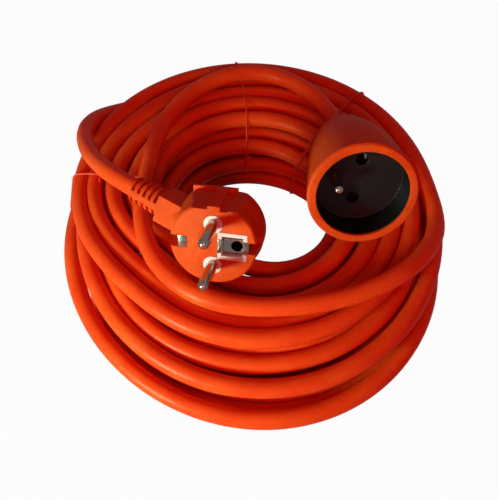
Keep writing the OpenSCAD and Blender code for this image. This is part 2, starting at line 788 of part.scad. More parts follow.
module tie(a, knot_out) {
    knot = 1.5 * tie_w;
    knot_r = (coil_r + knot_out * turn_pitch) * press_out(a);
    color(DEEP) in_place() rotate([0, 0, a]) {
        rotate([90, 0, 0])
            linear_extrude(tie_w, center = true) difference() {
                intersection() {
                    pile_outline(a, tie_t);
                    above(0);
                }
                intersection() {
                    pile_outline(a, 0);
                    above(tie_t);
                }
            }
        translate([knot_r, 0, pile_top + tie_t / 2]) cube([knot, knot, knot], center = true);
        translate([knot_r, -tie_t / 2, pile_top + tie_t / 2])
            rotate([0, -25, 0]) cube([tie_w, tie_t, tie_tail]);
    }
}
module tie_left() tie(tie_left_at, 2);
module tie_back() tie(tie_back_at, 1.3);
module tie_right() tie(tie_right_at, 3.4);

// ----------------------------------------------------------------- drawing

cord_coil();
plug_lead();
socket_lead();
tie_left();
tie_back();
tie_right();
plug_body();
plug_strain_relief();
plug_pin_carrier();
plug_pin_live();
plug_pin_neutral();
plug_earth_socket();
plug_earth_plate();
plug_side_contact_left();
plug_side_contact_right();
plug_core_live();
plug_core_neutral();
plug_core_earth();
socket_shell();
socket_insert();
socket_carrier();
socket_contact_live();
socket_contact_neutral();
socket_earth_pin();
socket_shutter();
shutter_spring();
socket_core_live();
socket_core_neutral();
socket_core_earth();
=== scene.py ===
"""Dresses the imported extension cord: its pile of cord, plug, coupler socket and ties."""

import logging
import math
from dataclasses import dataclass, field
from enum import Enum
from typing import Any, Iterable, Sequence

import bpy
from mathutils import Euler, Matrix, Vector


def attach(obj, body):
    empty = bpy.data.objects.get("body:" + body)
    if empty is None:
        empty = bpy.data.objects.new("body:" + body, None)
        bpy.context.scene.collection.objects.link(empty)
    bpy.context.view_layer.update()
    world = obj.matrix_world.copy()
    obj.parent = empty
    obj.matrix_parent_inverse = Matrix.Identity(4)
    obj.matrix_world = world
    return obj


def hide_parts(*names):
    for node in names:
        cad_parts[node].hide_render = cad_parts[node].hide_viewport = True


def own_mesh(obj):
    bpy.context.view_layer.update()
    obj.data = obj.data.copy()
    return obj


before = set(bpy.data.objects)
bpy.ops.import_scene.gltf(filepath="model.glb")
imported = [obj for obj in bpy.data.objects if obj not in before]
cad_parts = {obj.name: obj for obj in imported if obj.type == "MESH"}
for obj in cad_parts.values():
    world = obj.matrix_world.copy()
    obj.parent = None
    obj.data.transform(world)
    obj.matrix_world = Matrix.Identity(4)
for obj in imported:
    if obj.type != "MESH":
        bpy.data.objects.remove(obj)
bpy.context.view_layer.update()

MM = 0.001
LOG = logging.getLogger("extension_cord")
CORD_SET = "cord_set"
Colour = tuple[float, float, float]
Place = tuple[float, float, float]
Edge = tuple[float, float]
WHITE: Colour = (1.0, 1.0, 1.0)


class Slot(Enum):
    """The record's material slots that new pieces take their finish from."""

    CORD = "cord_pvc"
    TIE = "tie_pvc"
    MOULDED = "moulded_pvc"
    WHITE = "white_insulator"
    BLACK = "black_insulator"
    NICKEL = "nickel"
    SPRING = "spring_steel"


def srgb(red: int, green: int, blue: int) -> Colour:
    """Turns a colour as a screen shows it into the linear values that a shader takes.

    Args:
        red: Red, 0 to 255.
        green: Green, 0 to 255.
        blue: Blue, 0 to 255.

    Returns:
        The linear red, green and blue.
    """
    def linear(level: int) -> float:
        """Gives the linear value of one channel."""
        share = level / 255
        return share / 12.92 if share <= 0.04045 else ((share + 0.055) / 1.055) ** 2.4

    return linear(red), linear(green), linear(blue)


# ------------------------------------------------------------------ shading


class Wire:
    """One output of a shader node. Python's operators on it add Math nodes."""

    def __init__(self, recipe: "Recipe", socket: bpy.types.NodeSocket) -> None:
        """Keeps the socket and the recipe that it belongs to."""
        self.recipe = recipe
        self.socket = socket

    def _maths(self, operation: str, first: Any, second: Any) -> "Wire":
        """Adds a Math node on two values or wires."""
        return self.recipe.add("ShaderNodeMath", {"operation": operation}, {0: first, 1: second})

    def __add__(self, other: Any) -> "Wire":
        """Adds."""
        return self._maths("ADD", self, other)

    __radd__ = __add__

    def __rsub__(self, other: Any) -> "Wire":
        """Is taken away from other."""
        return self._maths("SUBTRACT", other, self)

    def __mul__(self, other: Any) -> "Wire":
        """Multiplies."""
        return self._maths("MULTIPLY", self, other)

    __rmul__ = __mul__

    def between(self, edge: Edge) -> "Wire":
        """Rises from 0 at an edge's low value to 1 at its high one, and stays within these.

        Args:
            edge: The values that give 0 and 1.

        Returns:
            The mask.
        """
        return self.recipe.add(
            "ShaderNodeMapRange",
            {"interpolation_type": "SMOOTHSTEP"},
            {"Value": self, "From Min": edge[0], "From Max": edge[1]},
        )


class Recipe:
    """The node tree of a material or of the world, written out as expressions."""

    ROUGHNESS = 0.55

    def __init__(self, owner: bpy.types.Material | bpy.types.World) -> None:
        """Empties the owner's tree.

        Args:
            owner: The material or world that the tree belongs to.
        """
        owner.use_nodes = True
        self.owner = owner
        self.tree = owner.node_tree
        self.tree.nodes.clear()

    def add(self, kind: str, settings: dict[str, Any] | None = None,
            inputs: dict[Any, Any] | None = None, output: Any = 0) -> Wire:
        """Adds a node.

        Args:
            kind: The node's type.
            settings: The node's own settings, which are set first.
            inputs: Values or wires for its input sockets.
            output: Which output is wanted.

        Returns:
            That output.
        """
        node = self.tree.nodes.new(kind)
        for name, value in (settings or {}).items():
            setattr(node, name, value)
        for key, value in (inputs or {}).items():
            self.feed(node.inputs[key], value)
        return Wire(self, node.outputs[output])

    def feed(self, socket: bpy.types.NodeSocket, value: Any) -> None:
        """Links a wire to a socket, or writes a value into it.

        Args:
            socket: The input socket.
            value: A wire, a number or three numbers.
        """
        if isinstance(value, Wire):
            self.tree.links.new(value.socket, socket)
        elif socket.type == "RGBA":
            socket.default_value = (*value, 1.0)
        else:
            socket.default_value = value

    def place(self, stretch: Place = (1.0, 1.0, 1.0)) -> Wire:
        """Gives the place on the object, in metres, times a stretch along each axis."""
        here = self.add("ShaderNodeTexCoord", output="Object")
        return self.add("ShaderNodeMapping", {"vector_type": "POINT"},
                        {"Vector": here, "Scale": stretch})

    def noise(self, size: float, detail: float = 2.0, at: Wire | None = None) -> Wire:
        """Gives a noise of about 0 to 1.

        Args:
            size: Size of its clouds in metres.
            detail: How many finer octaves it has.
            at: Where it is read. Without it, the place on the object.

        Returns:
            The noise.
        """
        return self.add(
            "ShaderNodeTexNoise", {"noise_dimensions": "3D"},
            {"Vector": at or self.place(), "Scale": 1 / size, "Detail": detail,
             "Roughness": self.ROUGHNESS},
        )

    def mix(self, share: Wire, first: Any, second: Any) -> Wire:
        """Mixes two colours by a share from 0, all first, to 1, all second."""
        return self.add("ShaderNodeMix", {"data_type": "RGBA", "blend_type": "MIX"},
                        {0: share, 6: first, 7: second}, output=2)

    def bump(self, height: Wire, depth: float, under: Wire | None = None) -> Wire:
        """Raises the surface.

        Args:
            height: The relief, from 0 to 1.
            depth: How much 1 is, in metres.
            under: A relief that it lies on.

        Returns:
            The normal.
        """
        inputs = {"Height": height, "Distance": depth, "Strength": 1.0}
        if under:
            inputs["Normal"] = under
        return self.add("ShaderNodeBump", None, inputs)

    def close(self, shader: Wire) -> Any:
        """Links the last shader to the tree's output.

        Args:
            shader: The shader.

        Returns:
            The material or world that the tree belongs to.
        """
        world = isinstance(self.owner, bpy.types.World)
        out = self.tree.nodes.new("ShaderNodeOutputWorld" if world else "ShaderNodeOutputMaterial")
        self.tree.links.new(shader.socket, out.inputs["Surface"])
        return self.owner

    def finish(self, **sockets: Any) -> bpy.types.Material:
        """Closes the tree with one Principled shader.

        Args:
            sockets: Values or wires, by the shader's socket names with _ for a space.

        Returns:
            The material.
        """
        inputs = {name.replace("_", " "): value for name, value in sockets.items()}
        return self.close(self.add("ShaderNodeBsdfPrincipled", None, inputs))


@dataclass(frozen=True)
class Plastic:
    """Extruded or moulded plastic: faint clouds in the colour, a fine grain and rubbed marks."""

    name: str
    colour: Colour
    deep: Colour
    rubbed: Colour
    roughness: float = 0.42
    grain: float = 0.5 * MM
    grain_depth: float = 0.02 * MM
    wave: float = 14 * MM
    wave_detail: float = 1.0
    wave_depth: float = 0.08 * MM
    rubs: float = 0.25
    shine: Colour = WHITE
    level: float = 0.3
    glow: float = 0.0
    glow_reach: Colour = (1.0, 0.07, 0.05)
    glow_depth: float = 3.5 * MM
    cloud: float = 22 * MM
    cloud_detail: float = 3.0
    cloud_edge: Edge = (0.35, 0.7)
    cloud_rough: float = 0.10
    speck: float = 0.9 * MM
    speck_edge: Edge = (0.35, 0.75)
    speck_share: float = 0.12
    rub: float = 5 * MM
    rub_detail: float = 4.0
    rub_edge: Edge = (0.66, 0.78)
    rub_stretch: Place = (1.0, 1.0, 0.35)
    rub_rough: float = 0.25

    def build(self) -> bpy.types.Material:
        """Makes the material.

        Returns:
            The material.
        """
        recipe = Recipe(bpy.data.materials.new(self.name))
        clouds = recipe.noise(self.cloud, self.cloud_detail)
        specks = recipe.noise(self.speck).between(self.speck_edge) * self.speck_share
        marks = recipe.noise(self.rub, self.rub_detail, recipe.place(self.rub_stretch))
        marks = marks.between(self.rub_edge) * self.rubs
        colour = recipe.mix(clouds.between(self.cloud_edge), self.deep, self.colour)
        colour = recipe.mix(specks, colour, self.rubbed)
        colour = recipe.mix(marks, colour, self.rubbed)
        least = self.roughness - self.cloud_rough / 2
        rough = clouds * self.cloud_rough + marks * self.rub_rough + least
        fine = recipe.bump(recipe.noise(self.grain), self.grain_depth)
        waves = recipe.noise(self.wave, self.wave_detail)
        normal = recipe.bump(waves, self.wave_depth, fine)
        return recipe.finish(
            Base_Color=colour, Roughness=rough, Normal=normal, Specular_IOR_Level=self.level,
            Specular_Tint=self.shine, Subsurface_Weight=self.glow,
            Subsurface_Radius=self.glow_reach, Subsurface_Scale=self.glow_depth)


@dataclass(frozen=True)
class Plating:
    """Plated metal with fine drawing lines, rougher tarnished spots and a few scratches."""

    name: str
    colour: Colour
    tarnish: Colour
    roughness: float = 0.22
    line: float = 0.35 * MM
    line_detail: float = 3.0
    line_stretch: Place = (1.0, 1.0, 0.08)
    line_rough: float = 0.10
    line_depth: float = 0.012 * MM
    spot: float = 2.4 * MM
    spot_detail: float = 4.0
    spot_edge: Edge = (0.5, 0.75)
    spot_share: float = 0.6
    spot_rough: float = 0.18

    def build(self) -> bpy.types.Material:
        """Makes the material.

        Returns:
            The material.
        """
        recipe = Recipe(bpy.data.materials.new(self.name))
        lines = recipe.noise(self.line, self.line_detail, recipe.place(self.line_stretch))
        spots = recipe.noise(self.spot, self.spot_detail).between(self.spot_edge)
        colour = recipe.mix(spots * self.spot_share, self.colour, self.tarnish)
        least = self.roughness - self.line_rough / 2
        rough = spots * self.spot_rough + lines * self.line_rough + least
        return recipe.finish(Base_Color=colour, Metallic=1.0, Roughness=rough,
                             Normal=recipe.bump(lines, self.line_depth))


class Finishes:
    """Every material of the object, made once."""

    def __init__(self) -> None:
        """Builds the materials and sorts them by the slots of the new pieces."""
        orange, deep, pale = srgb(237, 95, 26), srgb(228, 76, 20), srgb(244, 132, 72)
        warm = (1.0, 0.6, 0.35)
        jacket = Plastic("cord_jacket", orange, deep, pale, roughness=0.38, shine=warm,
                         glow=0.6).build()
        moulding = Plastic("moulded_pvc", srgb(220, 88, 24), srgb(206, 72, 17), pale,
                           roughness=0.52, grain=0.9 * MM, grain_depth=0.11 * MM,
                           wave_depth=0.0, rubs=0.15, shine=warm, level=0.22,
                           glow=0.3).build()
        tie = Plastic("tie_strip", srgb(236, 92, 44), srgb(224, 74, 30), srgb(246, 150, 110),
                      roughness=0.4, grain=0.3 * MM, grain_depth=0.01 * MM, wave_depth=0.0,
                      rubs=0.3).build()
        white = Plastic("white_nylon", srgb(238, 236, 230), srgb(226, 222, 214),
                        srgb(200, 195, 186), roughness=0.35, grain=0.4 * MM,
                        grain_depth=0.008 * MM, wave_depth=0.0, rubs=0.3).build()
        self.black = Plastic("black_insulator", srgb(15, 15, 15), srgb(10, 10, 10),
                             srgb(60, 60, 60), roughness=0.42, grain=0.5 * MM,
                             grain_depth=0.012 * MM, wave_depth=0.0, rubs=0.35).build()
        self.brown = Plastic("brown_core", srgb(96, 54, 30), srgb(84, 44, 24),
                             srgb(130, 90, 60)).build()
        self.blue = Plastic("blue_core", srgb(36, 84, 170), srgb(28, 70, 150),
                            srgb(90, 130, 200)).build()
        self.green = Plastic("green_yellow_core", srgb(200, 190, 40), srgb(60, 140, 50),
                             srgb(150, 190, 90)).build()
        self.nickel = Plating("nickel_plate", srgb(186, 178, 166), srgb(130, 118, 104),
                              roughness=0.17).build()
        # Painted shade: the plug's earth socket is coloured near black to stand in for the shade
        # deep in its hole.
        self.earth_hole_shade = Plating("earth_socket_painted_shade", srgb(74, 66, 56), srgb(40, 36, 32),
                            roughness=0.4).build()
        steel = Plating("spring_steel", srgb(170, 172, 176), srgb(120, 120, 124)).build()
        self.by_slot = {Slot.CORD: jacket, Slot.TIE: tie, Slot.MOULDED: moulding,
                        Slot.WHITE: white, Slot.BLACK: self.black, Slot.NICKEL: self.nickel,
                        Slot.SPRING: steel}


# ------------------------------------------------------------------ modelling

SAME_PLACE = 0.001 * MM
FLAT = math.radians(0.6)
MOULD_EDGE = math.radians(28)
MOULD_SMOOTH = math.radians(32)
WIRE_SMOOTH = math.radians(70)


def deselect() -> None:
    """Leaves object mode with nothing selected."""
    if bpy.context.object and bpy.context.object.mode != "OBJECT":
        bpy.ops.object.mode_set(mode="OBJECT")
    bpy.ops.object.select_all(action="DESELECT")


def take(piece: bpy.types.Object) -> None:
    """Makes a piece the only one selected, and active.

    Args:
        piece: The piece.
    """
    deselect()
    piece.select_set(True)
    bpy.context.view_layer.objects.active = piece


def dress(piece: bpy.types.Object, material: bpy.types.Material) -> None:
    """Gives a piece one material in place of all that it had."""
    piece.data.materials.clear()
    piece.data.materials.append(material)


def repaint(material: bpy.types.Material, *nodes: str) -> None:
    """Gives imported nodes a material. Their meshes stay as they are.

    Args:
        material: The material.
        nodes: The nodes' names.
    """
    for node in nodes:
        dress(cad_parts[node], material)
        LOG.info("%s: %s", node, material.name)


def stand_in(piece: bpy.types.Object, slot: Slot, finishes: Finishes,
             *nodes: str) -> bpy.types.Object:
    """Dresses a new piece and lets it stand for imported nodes.

    Args:
        piece: The piece.
        slot: Its material slot.
        finishes: The materials.
        nodes: The nodes that it stands for.

    Returns:
        The piece.
    """
    dress(piece, finishes.by_slot[slot])
    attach(piece, CORD_SET)
    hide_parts(*nodes)
    return piece


def copied(node: str, name: str) -> bpy.types.Object:
    """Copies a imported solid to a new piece, with its loose triangles merged.

    Args:
        node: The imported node.
        name: The new piece's name.

    Returns:
        The new piece.
    """
    piece = bpy.data.objects.new(name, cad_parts[node].data.copy())
    bpy.context.scene.collection.objects.link(piece)
    take(piece)
    bpy.ops.object.mode_set(mode="EDIT")
    bpy.ops.mesh.select_all(action="SELECT")
    bpy.ops.mesh.remove_doubles(threshold=SAME_PLACE)
    bpy.ops.mesh.dissolve_limited(angle_limit=FLAT)
    bpy.ops.object.mode_set(mode="OBJECT")
    return piece


def strung(name: str, lines: Iterable[tuple[Sequence[Vector], bool]], thick: float,
           roundness: int) -> bpy.types.Object:
    """Makes a piece of round strands along lines of points.

    Args:
        name: The new piece's name.
        lines: The lines, each with whether it closes on itself.
        thick: The strands' diameter in metres.
        roundness: How finely a strand is rounded.

    Returns:
        The new piece.
    """
    data = bpy.data.curves.new(name, "CURVE")
    data.dimensions, data.fill_mode, data.twist_mode = "3D", "FULL", "MINIMUM"
    data.bevel_depth, data.bevel_resolution, data.use_fill_caps = thick / 2, roundness, True
    for points, closed in lines:
        spline = data.splines.new("POLY")
        spline.points.add(len(points) - 1)
        spline.points.foreach_set("co", [value for p in points for value in (*p, 1.0)])
        spline.use_cyclic_u, spline.use_smooth = closed, True
    piece = bpy.data.objects.new(name, data)
    bpy.context.scene.collection.objects.link(piece)
    return piece


@dataclass(frozen=True)
class Cover:
    """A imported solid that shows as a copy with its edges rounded, as a mould leaves them."""

    node: str
    name: str
    radius: float
    slot: Slot
    segments: int = 3

    def build(self, finishes: Finishes) -> bpy.types.Object:
        """Makes and dresses the copy.

        Args:
            finishes: The materials.

        Returns:
            The new piece.
        """
        piece = copied(self.node, self.name)
        bevel = piece.modifiers.new("edges", "BEVEL")
        bevel.limit_method, bevel.angle_limit = "ANGLE", MOULD_EDGE
        bevel.width, bevel.segments, bevel.use_clamp_overlap = self.radius, self.segments, True
        bpy.ops.object.modifier_apply(modifier=bevel.name)
        bpy.ops.object.shade_smooth_by_angle(angle=MOULD_SMOOTH)
        return stand_in(piece, self.slot, finishes, self.node)


def report(piece: bpy.types.Object) -> None:
    """Logs what a piece is made of."""
    parts = piece.data.polygons if piece.type == "MESH" else piece.data.splines[0].points
    LOG.info("%s: %d faces or points", piece.name, len(parts))


# ------------------------------------------------------------------ the cord


def smooth(share: float) -> float:
    """Eases from 0 to 1 with level ends."""
    return share * share * (3 - 2 * share)


def clamped(share: float) -> float:
    """Keeps a share within 0 and 1."""
    return min(max(share, 0), 1)


def through(points: Sequence[Vector], steps: int) -> list[Vector]:
    """Draws a Catmull-Rom curve through points.

    Args:
        points: The points.
        steps: How many stretches there are between two of them.

    Returns:
        The curve's points.
    """
    line: list[Vector] = []
    for i in range(len(points) - 1):
        before, start = points[max(i - 1, 0)], points[i]
        end, after = points[i + 1], points[min(i + 2, len(points) - 1)]
        for k in range(steps):
            t = k / steps
            line.append(0.5 * (
                2 * start + (end - before) * t
                + (2 * before - 5 * start + 4 * end - after) * t * t
                + (3 * start - before - 3 * end + after) * t ** 3))
    return [*line, points[-1]]


def evenly(points: Sequence[Vector], step: float) -> list[Vector]:
    """Walks along points and sets new ones at even distances.

    Args:
        points: The line.
        step: The distance in metres.

    Returns:
        The new points, with the line's own two ends.
    """
    line, left = [points[0]], step
    for start, end in zip(points, points[1:]):
        span = (end - start).length
        gone = left
        while gone <= span:
            line.append(start.lerp(end, gone / span))
            gone += step
        left = gone - span
    return [*line, points[-1]]


def eased(points: Sequence[Vector], passes: int, held: tuple[int, int]) -> list[Vector]:
    """Rounds off a line's corners.

    Args:
        points: The line.
        passes: How often each point moves towards its neighbours.
        held: How many points stay where they are at the line's two ends.

    Returns:
        The line with its corners rounded off.
    """
    line = list(points)
    for _ in range(passes):
        middle = [(a + 2 * b + c) / 4 for a, b, c in zip(line, line[1:], line[2:])]
        line = line[:held[0]] + middle[held[0] - 1:len(line) - held[1] - 1] + line[-held[1]:]
    return line


def rounded(points: Sequence[Vector], held: tuple[int, int], step: float = 4 * MM,
            passes: int = 12) -> list[Vector]:
    """Sets even points on a line and rounds its bends, but not the held points at its ends."""
    return eased(evenly(points, step), passes, held)


@dataclass(frozen=True)
class Drift:
    """A side of the pile on which one layer's turns lie wider or closer than elsewhere."""

    at: float
    width: float
    layer: float
    spread: float

    def outwards(self, angle: float, layer: float, reach: float) -> float:
        """Gives how far a strand moves outwards.

        Args:
            angle: Its place round the pile in radians.
            layer: Its height in layers.
            reach: How far it lies out from the innermost turn, in metres.

        Returns:
            The move in metres.
        """
        off = math.remainder(angle - math.radians(self.at), 2 * math.pi) / math.radians(self.width)
        share = math.exp(-off * off) * max(0.0, 1 - abs(layer - self.layer))
        return share * self.spread * reach


@dataclass(frozen=True)
class Nudge:
    """One turn that lies off its even place over part of its way round, in millimetres."""

    turn: float
    out: float
    up: float = 0.0
    width: float = 0.12

    def share(self, u: float) -> float:
        """Gives how much of the nudge is felt after u turns."""
        return math.exp(-((u - self.turn) / self.width) ** 2)


@dataclass(frozen=True)
class Sway:
    """A slow wave in the winding, in millimetres, that creeps on from turn to turn."""

    size: float
    lobes: int
    creep: float

    def at(self, u: float) -> float:
        """Gives the wave's height after u turns."""
        return self.size * math.sin((2 * math.pi * self.lobes + self.creep) * u)


@dataclass
class CordRun:
    """The cord from plug to socket: free lead, winding in four layers, free lead."""

    diameter: float = 8.6 * MM
    roundness: int = 5
    length: float = 9.4

    inner: float = 43.4 * MM
    nest: float = 3.6 * MM
    floor_open: float = 6 * MM
    floor_pull: float = 0.079
    floor_sunk: float = 0.4
    floor_loose: float = 0.25
    turn_gap: float = 0.9 * MM
    layer_gap: float = 1.9 * MM
    turns: tuple[float, float, float, float] = (4.2, 5, 5, 4.5)
    climb_turns: float = 0.5
    climb_bow: float = 5.2 * MM
    lean: tuple[float, float] = (-0.4 * MM, -20.5 * MM)
    oval: float = 0.025
    oval_at: float = math.radians(-62)
    centre: Vector = field(default_factory=lambda: Vector((1.2, 8.4, 0)) * MM)
    rings: int = 48

    end_ease: float = 0.25
    sways_out: tuple[Sway, ...] = (Sway(0.24, 2, 2.4), Sway(0.14, 3, -1.3))
    sways_up: tuple[Sway, ...] = (Sway(0.34, 1, 3.1), Sway(0.2, 2, -1.7))
    drifts: tuple[Drift, ...] = (
        Drift(at=242, width=42, layer=3, spread=0.13),
        Drift(at=250, width=50, layer=2, spread=0.06),
        Drift(at=4, width=34, layer=3, spread=-0.05),
    )
    nudges: tuple[Nudge, ...] = (
        Nudge(15.43, 4.6), Nudge(16.43, 4.8), Nudge(17.43, 4.6), Nudge(18.43, 1.7, -2.6),
        Nudge(19.43, -1.4), Nudge(13.43, 4.0), Nudge(12.43, 4.2), Nudge(11.43, 1.6),
        Nudge(10.43, 3.0), Nudge(9.43, 3.4, -4.0, 0.16), Nudge(0.44, -2.5),
        Nudge(10.79, 3.5, width=0.07), Nudge(19.7, -3.0, -0.6, 0.06),
        Nudge(11.56, 2.2, width=0.08), Nudge(12.56, 2.4, width=0.08),
    )
    crossing_at: float = 0.63
    crossing_half: float = 0.085
    crossing_fade: float = 0.18
    crossing: float = 1.9

    lead_steps: int = 6
    held: tuple[int, int] = (8, 5)
    plug_route: tuple[Place, ...] = (
        (-73, -6, 56), (-81, 6, 51), (-87, 20, 46), (-89, 35, 41), (-85, 49, 34), (-77, 60, 27),
        (-66, 72, 20), (-54, 82, 13), (-38, 88, 8), (-19, 87, 5), (0, 82, 4.3),
    )
    socket_route: tuple[Place, ...] = (
        (85, -30, 39), (74, -46, 43), (60, -57, 44.5), (43, -65, 44.5), (24, -70, 44.5),
        (4, -72, 44.5), (-16, -71, 44.5), (-33, -64, 44.5), (-46, -51, 44.5), (-53, -34, 44.5),
        (-55, -16, 44.5), (-53, 2, 44.5), (-51, 20, 44.5), (-46, 38, 44.5), (-36, 54, 44.5),
        (-21, 68, 44.5), (-4, 75, 44.5), (12, 73, 44.5), (25, 66, 44.5),
        (34, 56, 44.7), (40, 46, 45.2),
    )

    def __post_init__(self) -> None:
        """Works out the winding's stages."""
        self.pitch = self.diameter + self.turn_gap
        self.radii = (self.inner + self.floor_open, self.inner + self.nest,
                      self.inner, self.inner + self.nest)
        self.floor_z = self.floor_sunk * self.diameter
        self.layer_pitch = self.diameter + self.layer_gap
        self.ends = []
        u = 0.0
        for count in self.turns:
            self.ends.append((u, u + count))
            u += count + self.climb_turns
        self.total = self.ends[-1][1]
        self.top = len(self.turns) - 1

    def outer(self, layer: int) -> float:
        """Gives the radius of a layer's outermost end."""
        return self.radii[layer] + self.turns[layer] * self.pitch

    def climb(self, share: float, start: float, end: float, way: int) -> float:
        """Gives the radius on the climb between two layers.

        Args:
            share: How much of the climb is done.
            start: The radius that it starts from.
            end: The radius that it ends at.
            way: 1 to swing out, -1 to swing in.

        Returns:
            The radius in metres.
        """
        swing = self.pitch * share * (1 - share) / 2
        swing += self.climb_bow * math.sin(math.pi * share) ** 2
        return start + (end - start) * smooth(share) + way * swing

    def radius(self, u: float) -> float:
        """Gives the radius of an even winding.

        Args:
            u: Turns from the start of the winding.

        Returns:
            The radius in metres.
        """
        for layer, (start, end) in enumerate(self.ends):
            inwards = layer % 2 == 0
            if u <= end:
                if u >= start:
                    passed = end - u if inwards else u - start
                    return self.radii[layer] + passed * self.pitch
                share = (u - self.ends[layer - 1][1]) / self.climb_turns
                if inwards:
                    return self.climb(share, self.outer(layer - 1), self.outer(layer), 1)
                return self.climb(share, self.radii[layer - 1], self.radii[layer], -1)
        return self.outer(self.top)

    def layer(self, u: float) -> float:
        """Gives the height after u turns, in layers."""
        return sum(smooth(clamped((u - end) / self.climb_turns)) for _, end in self.ends[:-1])

    def stray(self, u: float) -> tuple[float, float]:
        """Gives how far a turn strays, as hand winding leaves it.

        Args:
            u: Turns from the start of the winding.

        Returns:
            The moves outwards and upwards in metres.
        """
        loose = smooth(min(1.0, u / self.end_ease))
        loose *= smooth(min(1.0, (self.total - u) / self.end_ease))
        loose *= min(1.0, self.floor_loose + self.layer(u))
        outwards = sum(sway.at(u) for sway in self.sways_out)
        upwards = sum(sway.at(u) for sway in self.sways_up)
        return loose * outwards * MM, loose * upwards * MM

    def crossed(self, u: float) -> float:
        """Gives how far the top layer's turns swing in and then out to cross the one below.

        Args:
            u: Turns from the start of the winding.

        Returns:
            The move outwards in metres.
        """
        past = math.remainder(u - self.crossing_at, 1)
        step = smooth(clamped(0.5 + past / (2 * self.crossing_half))) - 0.5 - past
        on_top = max(0.0, 1 + self.layer(u) - self.top)
        fade = math.exp(-(past / self.crossing_fade) ** 2)
        return on_top * self.crossing * self.pitch * step * fade

    def settled(self, u: float, angle: float) -> float:
        """Gives the radius with the floor layer pulled tight, the drifts and the crossings.

        Args:
            u: Turns from the start of the winding.
            angle: The place round the pile in radians.

        Returns:
            The radius in metres.
        """
        radius, layer = self.radius(u), self.layer(u)
        tight = max(0.0, 1 - layer) * self.floor_pull * (self.outer(0) - radius)
        reach = radius - self.inner
        drift = sum(d.outwards(angle, layer, reach) for d in self.drifts)
        return radius + tight + drift + self.crossed(u)

    def pressed(self, point: Vector) -> Vector:
        """Moves a point of a round pile to where the slightly oval one has it.

        Args:
            point: The point, in metres.

        Returns:
            The moved point.
        """
        long_way, across = math.cos(2 * self.oval_at), math.sin(2 * self.oval_at)
        return point + self.oval * Vector((long_way * point.x + across * point.y,
                                           across * point.x - long_way * point.y, 0))

    def at(self, u: float) -> Vector:
        """Gives the centreline's point, round the coil's own axis.

        Args:
            u: Turns from the start of the winding.

        Returns:
            The point in metres.
        """
        angle, layer = 2 * math.pi * (self.turns[0] - u), self.layer(u)
        outwards, upwards = self.stray(u)
        outwards += sum(n.out * n.share(u) for n in self.nudges) * MM
        upwards += sum(n.up * n.share(u) for n in self.nudges) * MM
        radius = self.settled(u, angle) + outwards
        height = max(self.floor_z + layer * self.layer_pitch + upwards, self.diameter / 2)
        round_pile = Vector((radius * math.cos(angle), radius * math.sin(angle), height))
        to_floor = 1 - layer / self.top
        return self.pressed(round_pile) + Vector((*self.lean, 0)) * to_floor

    def winding(self) -> list[Vector]:
        """Gives the winding's centreline."""
        steps = round(self.total * self.rings)
        return [self.at(self.total * i / steps) for i in range(steps + 1)]

    def routed(self, route: Sequence[Place]) -> list[Vector]:
        """Gives a lead's points round the coil's own axis, in metres."""
        return [self.pressed(Vector(p) * MM) for p in route]

    def path(self, plug: "Plug", socket: "Socket") -> list[Vector]:
        """Gives the whole centreline in the object's own frame.

        Args:
            plug: The plug that the cord leaves.
            socket: The socket that it ends in.

        Returns:
            The points.
        """
        wound = self.winding()
        step = self.diameter
        into = (wound[1] - wound[0]).normalized()
        out = (wound[-1] - wound[-2]).normalized()
        start, tip = (plug.point(plug.along(distance)) - self.centre
                      for distance in (plug.jacket_end, plug.relief_end))
        leaving = (tip - start).normalized()
        tail, seat = (socket.point((0, 0, height)) - self.centre
                      for height in (-socket.length, socket.cord_seat))
        entering = (tail - seat).normalized()
        lead = [start, tip, tip + step * leaving, *self.routed(self.plug_route),
                wound[0] - 2 * step * into, wound[0] - step * into, wound[0]]
        last = [wound[-1], wound[-1] + step * out, wound[-1] + 2 * step * out,
                *self.routed(self.socket_route), tail + step * entering, tail, seat]
        line = [*through(lead, self.lead_steps)[:-1], *wound,
                *through(last, self.lead_steps)[1:]]
        return [p + self.centre for p in rounded(line, self.held)]

    def build(self, finishes: Finishes, plug: "Plug", socket: "Socket") -> bpy.types.Object:
        """Makes the cord as one round curve.

        Args:
            finishes: The materials.
            plug: The plug that the cord leaves.
            socket: The socket that it ends in.

        Returns:
            The piece.
        """
        points = self.path(plug, socket)
        run = sum((b - a).length for a, b in zip(points, points[1:]))
        LOG.info("cord: %.3f m long", run)
        piece = strung("cord", [(points, False)], self.diameter, self.roundness)
        return stand_in(piece, Slot.CORD, finishes, "plug_lead", "cord_coil", "socket_lead")


# ------------------------------------------------------------------ the plug


@dataclass
class Placed:
    """A sub-assembly with its own frame."""

    origin: Vector
    turns: tuple[float, float, float]

    def point(self, local: Sequence[float]) -> Vector:
        """Takes a point of this frame to the object's own frame.

        Args:
            local: The point in millimetres.

        Returns:
            The point in metres.
        """
        turned = Vector(local) * MM
        turned.rotate(Euler([math.radians(a) for a in self.turns], "XYZ"))
        return self.origin + turned


